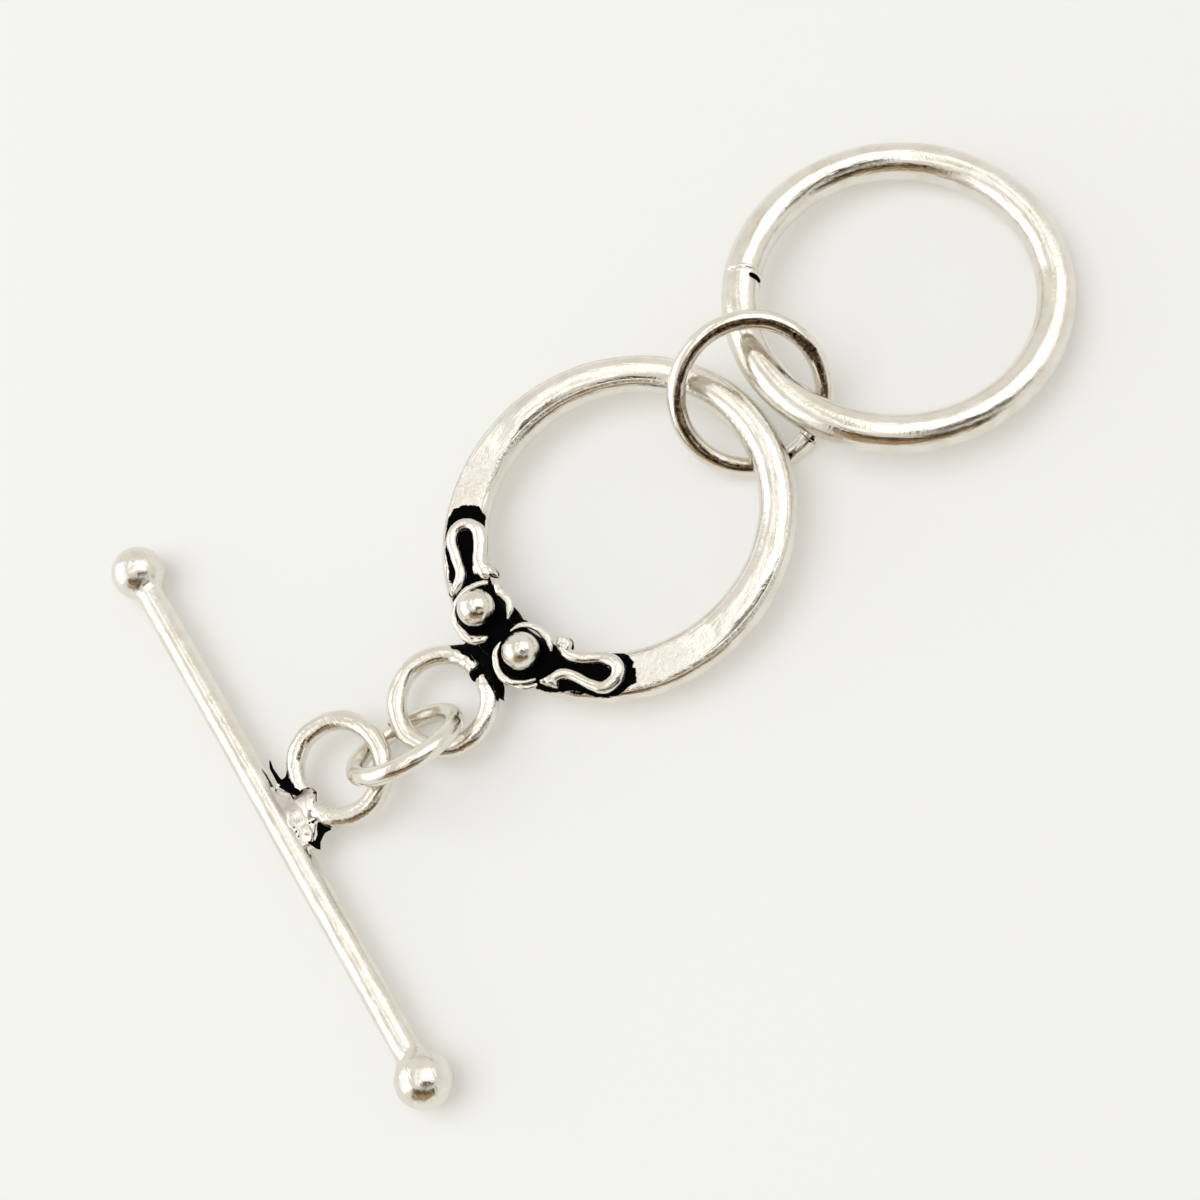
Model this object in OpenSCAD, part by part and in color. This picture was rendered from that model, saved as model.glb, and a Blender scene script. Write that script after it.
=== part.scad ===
// Toggle clasp in silver, laid out flat as a chain: a bar with ball ends and an eye, a small
// link ring, an ornamented toggle ring with its own eye, a jump ring and a large plain ring.
// Millimetres. +X runs along the chain from the bar to the large ring, +Y along the bar, and
// +Z up. The origin is under the middle of the whole layout, on the surface it lies on.

/* [Toggle bar] */
// Distance between the centres of the two end balls
bar_length = 27.9; // [20:0.1:40]
// Diameter of the bar's rod
rod_d = 1.3; // [1:0.05:1.8]
// Diameter of the end balls
ball_d = 2.54; // [2.1:0.02:3.2]
// Diameter of the solder collar where the rod enters a ball
collar_d = 1.72; // [1.5:0.02:2]
// How far the collar runs along the rod from the ball's surface
collar_length = 0.45; // [0.2:0.05:0.8]

/* [Eyes] */
// Diameter of the wire of both eyes
eye_wire_d = 0.9; // [0.7:0.02:1.1]
// Radius of the bar eye's wire, to the middle of the wire
bar_eye_r = 2.15; // [1.9:0.05:2.6]
// Radius of the ring eye's wire, to the middle of the wire
ring_eye_r = 2.12; // [1.9:0.05:2.6]
// Space between the rod and the bar eye, which the solder fills
bar_eye_stand = 0.36; // [0.1:0.02:0.6]
// Space between the toggle ring and its eye, which the solder fills
ring_eye_stand = 0.12; // [0.05:0.01:0.4]
// Thickness of the solder webs
web_t = 0.7; // [0.4:0.05:0.85]
// Width of a solder web where it meets the rod or the ring
web_w = 3.4; // [2.4:0.1:4]
// Width of a solder web at its waist
web_waist = 1.7; // [1:0.1:2.2]

/* [Link ring] */
// Diameter of the link ring's wire
link_wire_d = 0.87; // [0.7:0.01:1]
// Radius of the link ring, to the middle of the wire
link_r = 2.48; // [2.35:0.01:3]
// Turn of the link ring away from the chain's line, seen from above
link_turn = -7; // [-12:1:5]

/* [Toggle ring] */
// Diameter of the round wire on the ring's plain side
ring_wire_d = 1.68; // [1.4:0.02:1.9]
// Half the ring's long axis, to the middle of the wire
ring_a = 7.42; // [6.5:0.02:9]
// Half the ring's short axis, to the middle of the wire
ring_b = 7.05; // [6.2:0.02:8.6]
// Width of the ring where it is hammered flat
flat_w = 2.26; // [1.9:0.02:2.6]
// How much lower the hammered top is than the round wire
flat_drop = 0.24; // [0.1:0.02:0.4]
// Turn of the toggle ring away from the chain's line, seen from above
ring_turn = 12; // [0:1:20]

/* [Ornament] */
// Diameter of the two granules
granule_d = 1.76; // [1.4:0.02:2.1]
// Distance between the granules' centres
granule_pitch = 3; // [2.9:0.02:3.6]
// How far a granule is sunk into the flat
granule_sink = 0.34; // [0.15:0.01:0.6]
// Diameter of the wire of the cups around the granules
cup_wire_d = 0.36; // [0.24:0.02:0.5]
// Radius of a cup, to the middle of its wire
cup_r = 1.2; // [1.05:0.02:1.3]
// Angle that each cup leaves open
cup_open = 70; // [30:5:120]
// Diameter of the wire of the two keyhole loops
loop_wire_d = 0.52; // [0.36:0.02:0.64]
// Radius of a loop's round head, to the middle of its wire
loop_head_r = 0.68; // [0.6:0.02:0.8]
// Length of a loop from the middle of its head to the ends of its legs
loop_length = 2.42; // [1.8:0.02:2.6]
// Distance between the ends of a loop's legs
loop_spread = 1.76; // [1.4:0.02:1.9]

/* [Jump ring] */
// Diameter of the jump ring's wire
jump_wire_d = 0.87; // [0.7:0.01:1]
// Radius of the jump ring, to the middle of the wire
jump_r = 3.35; // [3.15:0.01:4]
// Turn of the jump ring away from the chain's line, seen from above
jump_turn = -9; // [-15:1:5]

/* [Large ring] */
// Diameter of the large ring's wire
end_wire_d = 1.75; // [1.4:0.02:1.95]
// Radius of the large ring, to the middle of the wire
end_r = 7.1; // [6:0.05:9]

/* [Layout] */
// Clearance between wires that cross
link_gap = 0.07; // [0.04:0.01:0.15]
// Space between the two eyes inside the link ring
eye_gap = 0.34; // [0.1:0.02:0.6]
// Space between the toggle ring and the large ring inside the jump ring
ring_gap = 0.18; // [0.1:0.02:0.4]
// Free height left between the link ring and the eyes
link_rattle = 1.62; // [1:0.02:1.8]
// Free height left between the jump ring and the two rings in it
jump_rattle = 0.9; // [0.4:0.02:1.1]
// Bearing from the toggle ring's middle to the jump ring's
jump_bearing = 9; // [4:1:14]
// Bearing from the jump ring's middle to the large ring's
end_bearing = 3; // [-4:1:8]

/* [Hidden] */
$fn = 48;

silver = [0.87, 0.85, 0.82];
pale_silver = [0.91, 0.9, 0.88];

// How much of a leaning ring's half width is left where another wire crosses it
cross_share = 0.91;

// The lean of a ring whose wires pass over and under wires of the given thickness
function lean(r, wire, crossed, rattle) =
    asin((wire + crossed + 2 * link_gap + rattle) / (2 * r * cross_share));

// A leaning ring that stands on the surface: its middle, radius and the direction of its axis
function hoop(x, y, r, wire, turn, tilt) =
    [[x, y, r * sin(abs(tilt)) + wire / 2], r,
     [sin(turn) * sin(tilt), -cos(turn) * sin(tilt), cos(tilt)]];

// Least distance from a row of points to a hoop, from the middle of one wire to the other's
function nearest(points, h) = min([for (p = points)
    let (d = p - h[0], up = d * h[2], out = norm(d - up * h[2])) norm([up, out - h[1]])]);

// Raises or lowers a wire, step by step, until no room is left over or missing
function settle(z, room, steps = 14) =
    steps == 0 ? z : settle(z - room(z), room, steps - 1);

// Bar eye, counted from the rod's axis
bar_eye_x = rod_d / 2 + bar_eye_stand + bar_eye_r + eye_wire_d / 2;
bar_eye_y = -0.2;

// Link ring between the two eyes: where its low side lies, and the share of its play that is
// left at the bar's eye
link_low_y = 0.24;
link_share = 0.29;
link_tilt = lean(link_r, link_wire_d, eye_wire_d, link_rattle);
link_play = 2 * (link_r - link_wire_d / 2 - eye_wire_d) - eye_gap;
link_x = bar_eye_x + bar_eye_r - eye_wire_d / 2 - link_share * link_play
    + link_r - link_wire_d / 2;
link_y = link_low_y - link_r * cos(link_tilt);
link_hoop = hoop(link_x, link_y, link_r, link_wire_d, link_turn, -link_tilt);
eye_need = (eye_wire_d + link_wire_d) / 2 + link_gap;

// Toggle bar: it rolls on its balls until its eye lies on the link ring's low side
eye_sweep = 60;
bar_reach = bar_eye_x + bar_eye_r;
function bar_roll_at(z) = asin((z - ball_d / 2) / bar_reach);
function bar_eye_side(z) = [for (v = [-eye_sweep:5:eye_sweep])
    let (x = bar_eye_x + bar_eye_r * cos(v), roll = bar_roll_at(z))
    [x * cos(roll), bar_eye_y + bar_eye_r * sin(v), ball_d / 2 + x * sin(roll)]];
bar_roll = bar_roll_at(settle(eye_need + link_wire_d / 2,
                              function (z) nearest(bar_eye_side(z), link_hoop) - eye_need));

// Toggle ring: its eye lies on the link ring, its plain side on the jump ring
ring_eye_x = bar_reach + eye_wire_d + eye_gap + ring_eye_r;
ring_eye_y = -0.24;
ring_eye_reach = ring_a + flat_w / 2 + ring_eye_stand + eye_wire_d / 2 + ring_eye_r;
ring_span = ring_eye_reach + ring_eye_r + ring_a;
ring_x = ring_eye_x + ring_eye_reach * cos(ring_turn);
ring_y = ring_eye_y + ring_eye_reach * sin(ring_turn);

// Jump ring between the toggle ring and the large ring, which both lie on its low side; the
// share of its play that is left at the toggle ring, and the part of both that crosses it
jump_share = 0.57;
low_from = 66;
low_to = 6;
jump_tilt = lean(jump_r, jump_wire_d, max(ring_wire_d, end_wire_d), jump_rattle);
jump_play = 2 * jump_r - jump_wire_d - ring_wire_d - end_wire_d - ring_gap;
jump_reach = ring_a - ring_wire_d / 2 - jump_share * jump_play + jump_r - jump_wire_d / 2;
jump_x = ring_x + jump_reach * cos(jump_bearing);
jump_y = ring_y + jump_reach * sin(jump_bearing);
jump_hoop = hoop(jump_x, jump_y, jump_r, jump_wire_d, jump_turn, jump_tilt);
ring_need = (ring_wire_d + jump_wire_d) / 2 + link_gap;
end_need = (end_wire_d + jump_wire_d) / 2 + link_gap;

// A point of the toggle ring's plane, with the heights of its eye end and its plain end
function in_ring_plane(at, eye_z, plain_z) =
    let (rise = (plain_z - eye_z) / ring_span, x = at[0] * sqrt(1 - rise * rise))
    [ring_x + x * cos(ring_turn) - at[1] * sin(ring_turn),
     ring_y + x * sin(ring_turn) + at[1] * cos(ring_turn),
     plain_z + (at[0] - ring_a) * rise];
function ring_eye_side(eye_z, plain_z) = [for (v = [180 - eye_sweep:5:180 + eye_sweep]) in_ring_plane(
    [ring_eye_r * cos(v) - ring_eye_reach, ring_eye_r * sin(v)], eye_z, plain_z)];
function plain_side(eye_z, plain_z) = [for (v = [-low_from:3:-low_to]) in_ring_plane(
    [ring_a * cos(v), ring_b * sin(v)], eye_z, plain_z)];
eye_z_guess = eye_need + link_wire_d / 2;
ring_plain_z = settle(ring_need + jump_wire_d / 2,
    function (z) nearest(plain_side(eye_z_guess, z), jump_hoop) - ring_need);
ring_eye_z = settle(eye_z_guess,
    function (z) nearest(ring_eye_side(z, ring_plain_z), link_hoop) - eye_need);
ring_pitch = asin((ring_plain_z - ring_eye_z) / ring_span);
ring_z = ring_plain_z - ring_a * sin(ring_pitch);

// Large ring: one side on the jump ring, the other on the surface
end_reach = end_r - end_wire_d / 2 - (1 - jump_share) * jump_play + jump_r - jump_wire_d / 2;
end_x = jump_x + end_reach * cos(end_bearing);
end_y = jump_y + end_reach * sin(end_bearing);
function end_pitch_at(z) = asin((z - end_wire_d / 2) / (2 * end_r));
function end_side(z) = [for (v = [180 + low_to:3:180 + low_from])
    let (pitch = end_pitch_at(z), x = end_r * cos(v) * cos(pitch), y = end_r * sin(v))
    [end_x + x * cos(end_bearing) - y * sin(end_bearing),
     end_y + x * sin(end_bearing) + y * cos(end_bearing),
     end_wire_d / 2 + end_r * (1 - cos(v)) * sin(pitch)]];
end_pitch = end_pitch_at(settle(end_need + jump_wire_d / 2,
    function (z) nearest(end_side(z), jump_hoop) - end_need));
end_z = end_r * sin(end_pitch) + end_wire_d / 2;

// Middle of the whole layout, where the origin goes
layout_low_x = -ball_d / 2;
end_rise = cos(end_bearing) * sin(end_pitch);
layout_high_x = end_x + end_r * sqrt(1 - end_rise * end_rise) + end_wire_d / 2;
middle = [(layout_low_x + layout_high_x) / 2, 0, 0];

// The toggle ring's sections, from its plain side to its eye: angle, share of the
// hammered width, share of the hammered drop
ring_sections = [
    [0, 0, 0],
    [40, 0.02, 0],
    [62, 0.22, 0],
    [84, 0.52, 0.08],
    [98, 0.68, 0.6],
    [118, 0.88, 0.94],
    [140, 0.97, 1],
    [180, 1, 1]
];
ring_steps = 72;
section_steps = 16;

function column(table, k) = [for (row = table) [row[0], row[k]]];
function from_plain(u) = u > 180 ? 360 - u : u;
function ring_width(u) =
    ring_wire_d + lookup(from_plain(u), column(ring_sections, 1)) * (flat_w - ring_wire_d);
function ring_top(u) =
    ring_wire_d / 2 - lookup(from_plain(u), column(ring_sections, 2)) * flat_drop;
function ring_point(u) = [ring_a * cos(u), ring_b * sin(u)];
function ring_out(u) =
    let (n = [ring_b * cos(u), ring_a * sin(u)]) n / norm(n);

// One section of the toggle ring: a round wire, widened and cut off flat at the top
function ring_section(u) = [
    for (k = [0:section_steps - 1])
        let (v = (k + 0.5) * 360 / section_steps,
             across = ring_width(u) / 2 * cos(v),
             up = min(ring_wire_d / 2 * sin(v), ring_top(u)),
             at = ring_point(u) + across * ring_out(u))
        [at[0], at[1], up]
];

// Faces of a closed tube of rings of points, each with as many points
function tube_faces(rings, sides) = [
    for (i = [0:rings - 1], k = [0:sides - 1])
        [i * sides + k, i * sides + (k + 1) % sides,
         ((i + 1) % rings) * sides + (k + 1) % sides, ((i + 1) % rings) * sides + k]
];

// Point of the band on the flat, from a place along it (towards the eye) and across it
function on_band(along, across, side) =
    let (u = side * (180 - loop_angle + along / ring_a * 180 / PI),
         p = ring_point(u) + across * ring_out(u))
    [p[0], p[1]];

// A keyhole loop's centre line: leg, neck, round head and back, as shares along and across
loop_leg = [[1, 1], [0.86, 0.86], [0.7, 0.52], [0.55, 0.34], [0.4, 0.44]];
head_from = 48;
head_steps = 10;
function loop_line() = concat(
    [for (p = loop_leg) [p[0] * loop_length, p[1] * loop_spread / 2]],
    [for (k = [0:head_steps])
        let (v = head_from + k * (360 - 2 * head_from) / head_steps)
        loop_head_r * [cos(v), sin(v)]],
    [for (k = [len(loop_leg) - 1:-1:0])
        [loop_leg[k][0] * loop_length, -loop_leg[k][1] * loop_spread / 2]]);

// Angles of a granule and of a loop's head from the eye: the loop's legs end at the cup
granule_angle = atan2(granule_pitch / 2, ring_a);
loop_angle = granule_angle + (cup_r + cup_wire_d / 2 + loop_length) / ring_a * 180 / PI;

// Height of the hammered flat, and how far the wires on it rise from it, as shares of each
flat_z = ring_wire_d / 2 - flat_drop;
loop_rise = 0.14;
cup_rise = 0.2;
loop_sides = 8;

// The loop's wire: a tube round its centre line, half sunk into the flat
module keyhole_loop(side) {
    line = loop_line();
    n = len(line);
    path = [for (p = line) on_band(p[0], p[1], side)];
    rings = [for (i = [0:n - 1])
        let (d = path[min(i + 1, n - 1)] - path[max(i - 1, 0)],
             t = d / norm(d),
             across = [-t[1], t[0]])
        for (k = [0:loop_sides - 1])
            let (v = k * 360 / loop_sides, q = loop_wire_d / 2 * cos(v) * across)
            [path[i][0] + q[0], path[i][1] + q[1],
             flat_z + loop_wire_d * (loop_rise + sin(v) / 2)]];
    walls = [for (i = [0:n - 2], k = [0:loop_sides - 1])
        [i * loop_sides + k, (i + 1) * loop_sides + k,
         (i + 1) * loop_sides + (k + 1) % loop_sides, i * loop_sides + (k + 1) % loop_sides]];
    first = [for (k = [0:loop_sides - 1]) k];
    last = [for (k = [loop_sides - 1:-1:0]) (n - 1) * loop_sides + k];
    polyhedron(rings, concat([first], walls, [last]));
}

// A closed round wire of radius r about +Z
module wire_ring(r, wire) {
    rotate_extrude() translate([r, 0]) circle(d = wire);
}

// A flat web of solder from x = 0 to x = length, drawn in at its waist
web_bite = eye_wire_d / 4;
waist_at = 0.62;
module solder_web(length) {
    scoop = (web_w - web_waist) / 2;
    linear_extrude(height = web_t, center = true)
        difference() {
            translate([0, -web_w / 2]) square([length, web_w]);
            for (side = [-1, 1])
                translate([length * waist_at, side * (web_waist / 2 + scoop)]) circle(r = scoop);
        }
}

// Rod with a ball and a solder collar at each end, and the eye soldered to its middle. The
// collar ends a little thicker than the rod, so that the two never share a surface.
collar_end_d = rod_d + 0.014;
module toggle_bar() {
    color(silver)
        translate([0, 0, ball_d / 2] - middle)
            rotate([0, -bar_roll, 0])
                union() {
                    rotate([90, 0, 0]) cylinder(d = rod_d, h = bar_length, center = true);
                    for (side = [-1, 1]) {
                        translate([0, side * bar_length / 2, 0]) sphere(d = ball_d);
                        translate([0, side * bar_length / 2, 0])
                            rotate([side * 90, 0, 0])
                                cylinder(d1 = 2 * collar_d - rod_d, d2 = collar_end_d,
                                         h = ball_d / 2 + collar_length);
                    }
                    translate([bar_eye_x, bar_eye_y, 0]) wire_ring(bar_eye_r, eye_wire_d);
                    translate([0, bar_eye_y, 0])
                        solder_web(bar_eye_x - bar_eye_r + web_bite);
                }
}

// Small round link between the two eyes, leaning on them
module link_ring() {
    color(pale_silver)
        translate(link_hoop[0] - middle)
            rotate([0, 0, link_turn])
                rotate([-link_tilt, 0, 0])
                    wire_ring(link_r, link_wire_d);
}

// The ring's body: round wire on its plain side, hammered wide and flat towards the eye
module ring_body() {
    polyhedron([for (i = [0:ring_steps - 1]) each ring_section(i * 360 / ring_steps)],
               tube_faces(ring_steps, section_steps));
}

// A granule in its open wire cup, on the hammered flat
module granule(side) {
    at = [-ring_a * cos(granule_angle), side * granule_pitch / 2];
    translate([at[0], at[1], flat_z + granule_d / 2 - granule_sink]) sphere(d = granule_d);
    translate([at[0], at[1], flat_z + cup_wire_d * cup_rise])
        rotate([0, 0, 90 * (1 - side) + 45 * side + cup_open / 2])
            rotate_extrude(angle = 360 - cup_open)
                translate([cup_r, 0]) circle(d = cup_wire_d);
}

module toggle_ring() {
    color(silver)
        translate([ring_x, ring_y, ring_z] - middle)
            rotate([0, 0, ring_turn])
                rotate([0, -ring_pitch, 0])
                    union() {
                        ring_body();
                        translate([-ring_eye_reach, 0, 0]) wire_ring(ring_eye_r, eye_wire_d);
                        translate([-ring_a, 0, 0]) mirror([1, 0, 0])
                            solder_web(ring_eye_reach - ring_a - ring_eye_r + web_bite);
                        for (side = [-1, 1]) {
                            granule(side);
                            keyhole_loop(side);
                        }
                    }
}

// Round jump ring through the toggle ring and the large ring
module jump_ring() {
    color(pale_silver)
        translate(jump_hoop[0] - middle)
            rotate([0, 0, jump_turn])
                rotate([jump_tilt, 0, 0])
                    wire_ring(jump_r, jump_wire_d);
}

// Large plain ring of heavier wire
module end_ring() {
    color(silver)
        translate([end_x, end_y, end_z] - middle)
            rotate([0, 0, end_bearing])
                rotate([0, end_pitch, 0])
                    wire_ring(end_r, end_wire_d);
}

toggle_bar();
link_ring();
toggle_ring();
jump_ring();
end_ring();
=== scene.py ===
import bpy
import math
from mathutils import Matrix, Vector, noise


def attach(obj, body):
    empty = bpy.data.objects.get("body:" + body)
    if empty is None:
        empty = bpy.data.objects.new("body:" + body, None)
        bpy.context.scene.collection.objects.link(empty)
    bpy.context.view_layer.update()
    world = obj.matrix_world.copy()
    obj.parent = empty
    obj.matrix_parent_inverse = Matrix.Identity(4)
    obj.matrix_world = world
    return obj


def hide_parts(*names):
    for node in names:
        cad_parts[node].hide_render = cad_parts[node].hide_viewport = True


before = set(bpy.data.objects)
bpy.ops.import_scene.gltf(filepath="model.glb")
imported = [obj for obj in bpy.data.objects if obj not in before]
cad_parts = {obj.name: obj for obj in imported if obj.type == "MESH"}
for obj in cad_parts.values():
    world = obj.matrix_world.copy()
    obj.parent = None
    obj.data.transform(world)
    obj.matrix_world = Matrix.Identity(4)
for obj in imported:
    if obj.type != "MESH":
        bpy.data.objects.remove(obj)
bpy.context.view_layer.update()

mm = 0.001          # everything is drawn in millimetres and scaled once
rad = math.radians


# Where each piece lies: middle of its own frame in mm, then its lean about X or Y and its turn
seats = {
    "bar": {"at": (-21.5398, 0.0, 1.27), "turn": (0.0, -5.1546, 0.0)},
    "link": {"at": (-14.7503, -1.3055, 2.3746), "turn": (-51.4515, 0.0, -7.0)},
    "toggle": {"at": (-1.4254, 2.0969, 1.6592), "turn": (0.0, -1.1671, 12.0)},
    "jump": {"at": (6.7029, 3.3843, 2.4460), "turn": (36.891, 0.0, -9.0)},
    "end": {"at": (14.8771, 3.8127, 1.6501), "turn": (0.0, 6.2677, 3.0)},
}


def startFresh():
    if bpy.context.mode != "OBJECT":
        bpy.ops.object.mode_set(mode="OBJECT")
    bpy.ops.object.select_all(action="DESELECT")


def pick(piece):
    startFresh()
    piece.select_set(True)
    bpy.context.view_layer.objects.active = piece


def tidyMesh(piece, gap=0.002):
    # closed, merged and facing outwards
    pick(piece)
    bpy.ops.object.mode_set(mode="EDIT")
    bpy.ops.mesh.select_all(action="SELECT")
    bpy.ops.mesh.remove_doubles(threshold=gap)
    bpy.ops.mesh.normals_make_consistent(inside=False)
    bpy.ops.object.mode_set(mode="OBJECT")


def roundRing(name, radius, wire, around=320, across=40):
    startFresh()
    bpy.ops.mesh.primitive_torus_add(major_radius=radius, minor_radius=wire / 2,
                                     major_segments=around, minor_segments=across)
    piece = bpy.context.active_object
    piece.name = name
    return piece


def openWire(name, radius, wire, fromAngle, toAngle, around=200, across=32):
    # a disc of the wire's size is spun round, so both ends stay closed
    startFresh()
    start = rad(fromAngle)
    bpy.ops.mesh.primitive_circle_add(
        vertices=across, radius=wire / 2, fill_type="NGON",
        location=(radius * math.cos(start), radius * math.sin(start), 0),
        rotation=(rad(90), 0, start))
    piece = bpy.context.active_object
    piece.name = name
    bpy.ops.object.transform_apply(location=True, rotation=True, scale=True)
    bpy.ops.object.mode_set(mode="EDIT")
    bpy.ops.mesh.select_all(action="SELECT")
    bpy.ops.mesh.spin(steps=around, angle=rad(fromAngle - toAngle), center=(0, 0, 0), axis=(0, 0, 1))
    bpy.ops.object.mode_set(mode="OBJECT")
    tidyMesh(piece)
    return piece


def turned(name, stations, across=48):
    # lathe work along Y: a disc is drawn out and resized at every station
    startFresh()
    firstY, firstR = stations[0]
    bpy.ops.mesh.primitive_circle_add(vertices=across, radius=firstR, fill_type="NGON",
                                      location=(0, firstY, 0), rotation=(rad(90), 0, 0))
    piece = bpy.context.active_object
    piece.name = name
    bpy.ops.object.transform_apply(location=True, rotation=True, scale=True)
    bpy.ops.object.mode_set(mode="EDIT")
    bpy.ops.mesh.select_all(action="SELECT")
    for (y0, r0), (y1, r1) in zip(stations, stations[1:]):
        bpy.ops.mesh.extrude_region_move(TRANSFORM_OT_translate={"value": (0, y1 - y0, 0)})
        bpy.ops.transform.resize(value=(r1 / r0, 1, r1 / r0), center_override=(0, y1, 0))
    bpy.ops.object.mode_set(mode="OBJECT")
    tidyMesh(piece, 0.0005)
    return piece


def bentWire(name, path, sink=1.0):
    # path: x, y, z and half thickness, drawn as one smooth curve with closed ends
    startFresh()
    curve = bpy.data.curves.new(name, "CURVE")
    curve.dimensions = "3D"
    curve.bevel_depth = 1.0
    curve.bevel_resolution = 6
    curve.use_fill_caps = True
    curve.resolution_u = 8
    spline = curve.splines.new("BEZIER")
    spline.bezier_points.add(len(path) - 1)
    for point, (x, y, z, half) in zip(spline.bezier_points, path):
        point.co = (x, y, z)
        point.radius = half
        point.handle_left_type = point.handle_right_type = "AUTO"
    piece = bpy.data.objects.new(name, curve)
    bpy.context.collection.objects.link(piece)
    pick(piece)
    bpy.ops.object.convert(target="MESH")
    piece = bpy.context.active_object
    if sink != 1.0:
        middleZ = sum(p[2] for p in path) / len(path)
        for v in piece.data.vertices:
            v.co.z = middleZ + (v.co.z - middleZ) * sink
    tidyMesh(piece, 0.003)
    return piece


def wobble(piece, size, scale, seed):
    # small unevenness of bent wire
    pushes = [v.normal * size * noise.noise(v.co * scale + Vector((seed, 0, seed)))
              for v in piece.data.vertices]
    for v, push in zip(piece.data.vertices, pushes):
        v.co += push


def solderPad(name, outline, low, high, grain=0.05, rough=0.04, seed=0.0, melt=5, lumps=2.6):
    # an outline is drawn up, melted together with a voxel remesh and left a little lumpy
    startFresh()
    bpy.ops.mesh.primitive_circle_add(vertices=len(outline), radius=1.0, fill_type="NGON")
    piece = bpy.context.active_object
    piece.name = name
    for v, (x, y) in zip(piece.data.vertices, outline):
        v.co = (x, y, low)
    bpy.ops.object.mode_set(mode="EDIT")
    bpy.ops.mesh.select_all(action="SELECT")
    bpy.ops.mesh.extrude_region_move(TRANSFORM_OT_translate={"value": (0, 0, high - low)})
    bpy.ops.mesh.select_all(action="SELECT")
    bpy.ops.mesh.normals_make_consistent(inside=False)
    bpy.ops.object.mode_set(mode="OBJECT")
    blocks = piece.modifiers.new("blocks", "REMESH")
    blocks.mode = "VOXEL"
    blocks.voxel_size = grain
    bpy.ops.object.modifier_apply(modifier=blocks.name)
    soft = piece.modifiers.new("soft", "SMOOTH")
    soft.factor = 0.6
    soft.iterations = melt
    bpy.ops.object.modifier_apply(modifier=soft.name)
    wobble(piece, rough, lumps, seed)
    return piece


def solderInto(main, others):
    # everything soldered together becomes one closed solid
    for other in others:
        pick(main)
        weld = main.modifiers.new("weld", "BOOLEAN")
        weld.operation = "UNION"
        weld.solver = "MANIFOLD"
        weld.object = other
        bpy.ops.object.modifier_apply(modifier=weld.name)
        bpy.data.objects.remove(other, do_unlink=True)


def polygonDistance(x, y, outline):
    # inside is positive
    best = 1e9
    inside = False
    n = len(outline)
    for i in range(n):
        ax, ay = outline[i]
        bx, by = outline[(i + 1) % n]
        dx, dy = bx - ax, by - ay
        t = max(0.0, min(1.0, ((x - ax) * dx + (y - ay) * dy) / (dx * dx + dy * dy)))
        best = min(best, math.hypot(x - ax - t * dx, y - ay - t * dy))
        if (ay > y) != (by > y) and x < (bx - ax) * (y - ay) / (by - ay) + ax:
            inside = not inside
    return best if inside else -best


def polylineDistance(x, y, path):
    best = 1e9
    for (ax, ay), (bx, by) in zip(path, path[1:]):
        dx, dy = bx - ax, by - ay
        t = max(0.0, min(1.0, ((x - ax) * dx + (y - ay) * dy) / (dx * dx + dy * dy)))
        best = min(best, math.hypot(x - ax - t * dx, y - ay - t * dy))
    return best


def bell(x, middle, width):
    return math.exp(-((x - middle) / width) ** 2)


def paintDark(piece, rule):
    # how far inside the blackened recess each point lies, in mm
    layer = piece.data.attributes.get("dark") or piece.data.attributes.new("dark", "FLOAT", "POINT")
    layer.data.foreach_set("value", [rule(v.co) for v in piece.data.vertices])


def paintSolder(piece, rule):
    layer = piece.data.attributes.new("solder", "FLOAT", "POINT")
    layer.data.foreach_set("value", [max(0.0, min(1.0, rule(v.co))) for v in piece.data.vertices])


def spots(p, places):
    # small pits: x, y and size
    return max(size - math.hypot(p.x - x, p.y - y) for x, y, size in places)


sharpEdge = 35      # degrees; a steeper edge stays crisp


def finishPiece(piece, seat, node, material):
    # into place in metres, with the object left at the origin
    pick(piece)
    piece.data.materials.clear()
    piece.data.materials.append(material)
    bpy.ops.object.shade_smooth_by_angle(angle=rad(sharpEdge))
    turn = Matrix.Rotation(rad(seat["turn"][2]), 4, "Z") @ Matrix.Rotation(rad(seat["turn"][1]), 4, "Y") \
        @ Matrix.Rotation(rad(seat["turn"][0]), 4, "X")
    piece.matrix_world = Matrix.Scale(mm, 4) @ Matrix.Translation(seat["at"]) @ turn
    bpy.ops.object.transform_apply(location=True, rotation=True, scale=True)
    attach(piece, "root")
    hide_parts(node)
    print(piece.name, len(piece.data.polygons), "faces")


# Camera
print("camera")
camera = {"aim": (-4.068, 0.15, 0.0), "distance": 87.67, "elevation": 68.395, "roll": -33.94,
          "lens": 57.807}
eye = bpy.data.cameras.new("camera")
eye.lens = camera["lens"]
eye.sensor_width = 36
eye.clip_start = 0.005
eye.clip_end = 20
cameraObject = bpy.data.objects.new("camera", eye)
bpy.context.scene.collection.objects.link(cameraObject)
tilt = Matrix.Rotation(rad(90 - camera["elevation"]), 4, "X")
back = tilt @ Vector((0, 0, 1))
cameraObject.matrix_world = Matrix.Translation((Vector(camera["aim"]) + back * camera["distance"]) * mm) \
    @ tilt @ Matrix.Rotation(rad(camera["roll"]), 4, "Z")
bpy.context.scene.camera = cameraObject
bpy.context.scene.view_settings.view_transform = "Standard"
bpy.context.scene.view_settings.look = "None"


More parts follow.
